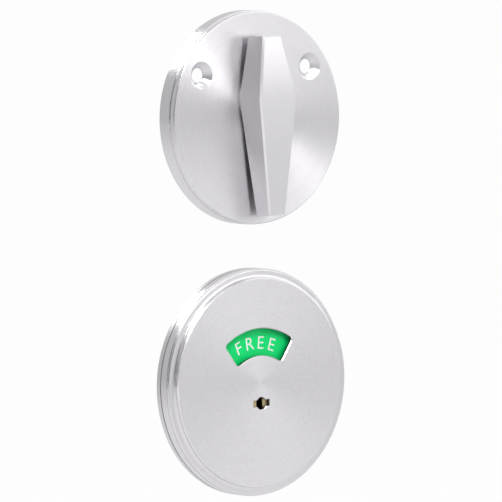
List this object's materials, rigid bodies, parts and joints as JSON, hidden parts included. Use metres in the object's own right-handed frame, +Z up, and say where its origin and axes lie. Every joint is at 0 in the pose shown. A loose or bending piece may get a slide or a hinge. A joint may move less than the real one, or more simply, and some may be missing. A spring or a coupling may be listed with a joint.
{
  "type": "thumb turn and occupancy indicator set",
  "caption": "Round thumb turn rose and round sign rose for a privacy lock: a kite-shaped turn, and a windowed sign that swings from free to in use, with a coin release.",
  "frame": {"origin": "where the outside rose's turning axis meets the door face", "axes": "+X right, +Z up, the fronts of both roses face -Y and their backs lie in the plane Y = 0"},
  "size_m": [0.071, 0.0456, 0.1481],
  "materials": {
    "brass": "turned",
    "cast_base": "plain die-cast zinc",
    "chrome_satin": "satin chrome, brushed in circles",
    "clear_plastic": "clear",
    "green_print": "printed",
    "red_print": "printed",
    "spring_steel": "dark spring steel",
    "steel_plain": "bright zinc",
    "white_plastic": "plain white"
  },
  "bodies": {
    "roses": {"thumb_rose": "chrome_satin", "thumb_bush": "white_plastic", "thumb_washer": "steel_plain", "thumb_bowed_washer": "spring_steel", "sign_base": "cast_base", "sign_cover": "chrome_satin", "cover_grub_screw": "steel_plain", "window_lens": "clear_plastic", "threaded_posts": "steel_plain", "hub_bush": "white_plastic", "hub_bowed_washer": "spring_steel", "stop_pin": "steel_plain"},
    "thumb_turn": {"thumb_lever": "chrome_satin", "thumb_circlip": "spring_steel", "drive_spindle": "steel_plain", "cross_pin": "steel_plain"},
    "sign_dial": {"release_hub": "brass", "sign_fan": "steel_plain", "fan_rivets": "steel_plain", "free_sign": "green_print", "in_use_sign": "red_print"}
  },
  "joints": [
    {"name": "turn_swing", "type": "hinge", "parent": "roses", "child": "thumb_turn", "pos_m": [0.00355, 0, 0.09345], "axis": [0, -1, 0], "range_deg": [0, 90]},
    {"name": "sign_swing", "type": "hinge", "parent": "roses", "child": "sign_dial", "pos_m": [0, 0, 0], "axis": [0, -1, 0], "range_deg": [-90, 0]}
  ],
  "couplings": [
    {"joint": "sign_swing", "follows": "turn_swing", "ratio": -1}
  ]
}
